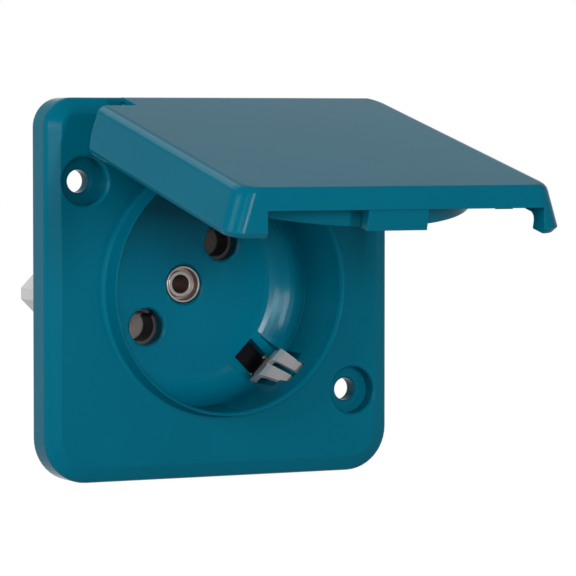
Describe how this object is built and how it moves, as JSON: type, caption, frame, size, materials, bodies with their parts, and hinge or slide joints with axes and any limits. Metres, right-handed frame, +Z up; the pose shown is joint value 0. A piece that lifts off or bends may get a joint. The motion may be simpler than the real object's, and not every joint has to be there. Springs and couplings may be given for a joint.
{
  "type": "built-in socket outlet with hinged lid",
  "caption": "Square flanged built-in power socket: round recessed well with pin holes and side earth clips under a hinged lid, pale terminal block behind.",
  "frame": {"origin": "middle of the flange's back face, on the axis of the plug well", "axes": "+Z up towards the hinge, -Y out of the face towards the user, +X to the right seen from the front"},
  "size_m": [0.06, 0.0999, 0.06],
  "materials": {
    "teal_flange": "moulded polyamide, low gloss",
    "teal_lid": "moulded polyamide, low gloss",
    "seal_rubber": "matt black rubber",
    "steel_pin": "drawn stainless wire",
    "pale_base": "pale grey moulding",
    "contact_nickel": "nickel plated brass",
    "spring_steel": "blued spring strip",
    "zinc_steel": "zinc plated",
    "nickel_strip": "nickel plated spring bronze",
    "nickel_rivet": "nickel plated brass tube"
  },
  "bodies": {
    "socket": {"flange_body": "teal_flange", "well_floor": "teal_flange", "flange_seal": "seal_rubber", "hinge_pin": "steel_pin", "terminal_base": "pale_base", "line_contact": "contact_nickel", "neutral_contact": "contact_nickel", "line_contact_ring": "spring_steel", "neutral_contact_ring": "spring_steel", "line_clamp": "zinc_steel", "neutral_clamp": "zinc_steel", "earth_clamp": "zinc_steel", "line_terminal_screw": "zinc_steel", "neutral_terminal_screw": "zinc_steel", "earth_terminal_screw": "zinc_steel", "earth_strap": "nickel_strip", "earth_terminal": "contact_nickel", "centre_rivet": "nickel_rivet", "rivet_washer": "zinc_steel"},
    "lid": {"lid": "teal_lid", "lid_seal": "seal_rubber"}
  },
  "joints": [
    {"name": "lid_hinge", "type": "hinge", "parent": "socket", "child": "lid", "pos_m": [0, -0.0096, 0.0262], "axis": [-1, 0, 0], "range_deg": [-76.4, 33.6]}
  ]
}
